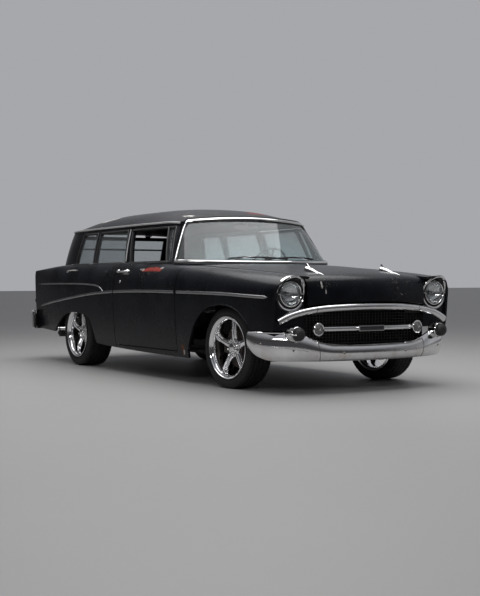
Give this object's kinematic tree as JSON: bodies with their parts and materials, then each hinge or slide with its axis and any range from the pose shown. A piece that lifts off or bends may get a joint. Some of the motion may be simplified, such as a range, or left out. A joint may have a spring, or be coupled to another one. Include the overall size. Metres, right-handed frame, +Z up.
{
  "type": "two-door station wagon",
  "caption": "Lowered 1950s two-door station wagon with worn black paint, chrome bumpers, tail fins and polished five-spoke wheels.",
  "frame": {"origin": "on the ground under the middle of the bounding box", "axes": "+X forward, +Y to the car's left, +Z up"},
  "size_m": [5.0732, 1.8748, 1.5518],
  "materials": {
    "body_paint": "worn semi-gloss black paint with chips and scratches",
    "chrome": "aged bright chrome",
    "lamp": "chrome ring and clear fluted glass",
    "red_lens": "red glass in a chrome ring",
    "grille_mesh": "dark anodised mesh",
    "glass": "green-tinted safety glass",
    "chassis_paint": "dull black chassis paint with road dirt",
    "iron": "oily cast iron",
    "steel": "dull steel with heat stains",
    "upholstery": "dark pleated vinyl",
    "dash_paint": "semi-gloss black paint",
    "wheel_plastic": "hard moulded rim",
    "wheel_alloy": "polished cast alloy",
    "tyre": "black rubber"
  },
  "bodies": {
    "root": {"fender_left": "body_paint", "fender_right": "body_paint", "cowl": "body_paint", "roof": "body_paint", "quarter_left": "body_paint", "quarter_right": "body_paint", "tail_panel": "body_paint", "inner_fenders": "body_paint", "front_bumper": "chrome", "rear_bumper": "chrome", "grille_surround": "chrome", "headlamps": "lamp", "taillamps": "red_lens", "grille": "grille_mesh", "fixed_glass": "glass", "frame": "chassis_paint", "suspension": "chassis_paint", "floor_pan": "chassis_paint", "engine": "iron", "rear_axle": "iron", "exhaust": "steel", "fuel_tank": "steel", "front_seat": "upholstery", "rear_seat": "upholstery", "dashboard": "dash_paint"},
    "hood": {"hood": "body_paint", "hood_ornaments": "chrome"},
    "door_left": {"door_left": "body_paint", "door_glass_left": "glass"},
    "door_right": {"door_right": "body_paint", "door_glass_right": "glass"},
    "tailgate": {"tailgate": "body_paint"},
    "liftgate": {"liftgate": "body_paint", "liftgate_glass": "glass"},
    "steering": {"steering_wheel": "wheel_plastic"},
    "knuckle_left": {"knuckle_left": "iron"},
    "knuckle_right": {"knuckle_right": "iron"},
    "wheel_front_left": {"rim_front_left": "wheel_alloy", "tyre_front_left": "tyre"},
    "wheel_front_right": {"rim_front_right": "wheel_alloy", "tyre_front_right": "tyre"},
    "wheel_rear_left": {"rim_rear_left": "wheel_alloy", "tyre_rear_left": "tyre"},
    "wheel_rear_right": {"rim_rear_right": "wheel_alloy", "tyre_rear_right": "tyre"}
  },
  "joints": [
    {"name": "steering_wheel_turn", "type": "hinge", "parent": "root", "child": "steering", "pos_m": [0.44, 0.38, 0.985], "axis": [-0.9063, 0, 0.4226], "range_deg": [-612, 450]},
    {"name": "steer_left", "type": "hinge", "parent": "root", "child": "knuckle_left", "pos_m": [1.69, 0.66, 0.326], "axis": [0, 0, 1], "range_deg": [-34.01, 25.01]},
    {"name": "steer_right", "type": "hinge", "parent": "root", "child": "knuckle_right", "pos_m": [1.69, -0.66, 0.326], "axis": [0, 0, 1], "range_deg": [-34.01, 25.01]},
    {"name": "wheel_front_left_spin", "type": "hinge", "parent": "knuckle_left", "child": "wheel_front_left", "pos_m": [1.68436, 0.73679, 0.326], "axis": [-0.0732, 0.9973, 0], "continuous": true},
    {"name": "wheel_front_right_spin", "type": "hinge", "parent": "knuckle_right", "child": "wheel_front_right", "pos_m": [1.69564, -0.73679, 0.326], "axis": [-0.0732, 0.9973, 0], "continuous": true},
    {"name": "wheel_rear_left_spin", "type": "hinge", "parent": "root", "child": "wheel_rear_left", "pos_m": [-1.231, 0.74, 0.337], "axis": [0, 1, 0], "continuous": true},
    {"name": "wheel_rear_right_spin", "type": "hinge", "parent": "root", "child": "wheel_rear_right", "pos_m": [-1.231, -0.74, 0.337], "axis": [0, 1, 0], "continuous": true},
    {"name": "door_left_swing", "type": "hinge", "parent": "root", "child": "door_left", "pos_m": [0.932, 0.916, 0.7], "axis": [0, 0, -1], "range_deg": [0, 65]},
    {"name": "door_right_swing", "type": "hinge", "parent": "root", "child": "door_right", "pos_m": [0.932, -0.916, 0.7], "axis": [0, 0, 1], "range_deg": [0, 65]},
    {"name": "hood_lift", "type": "hinge", "parent": "root", "child": "hood", "pos_m": [1.164, 0, 0.993], "axis": [0, -1, 0], "range_deg": [0, 50]},
    {"name": "liftgate_lift", "type": "hinge", "parent": "root", "child": "liftgate", "pos_m": [-1.923, 0, 1.365], "axis": [0, 1, 0], "range_deg": [0, 80]},
    {"name": "tailgate_drop", "type": "hinge", "parent": "root", "child": "tailgate", "pos_m": [-2.339, 0, 0.496], "axis": [0, -1, 0], "range_deg": [0, 88]}
  ],
  "couplings": [
    {"joint": "steer_left", "follows": "steering_wheel_turn", "ratio": 0.055556},
    {"joint": "steer_right", "follows": "steering_wheel_turn", "ratio": 0.055556}
  ]
}
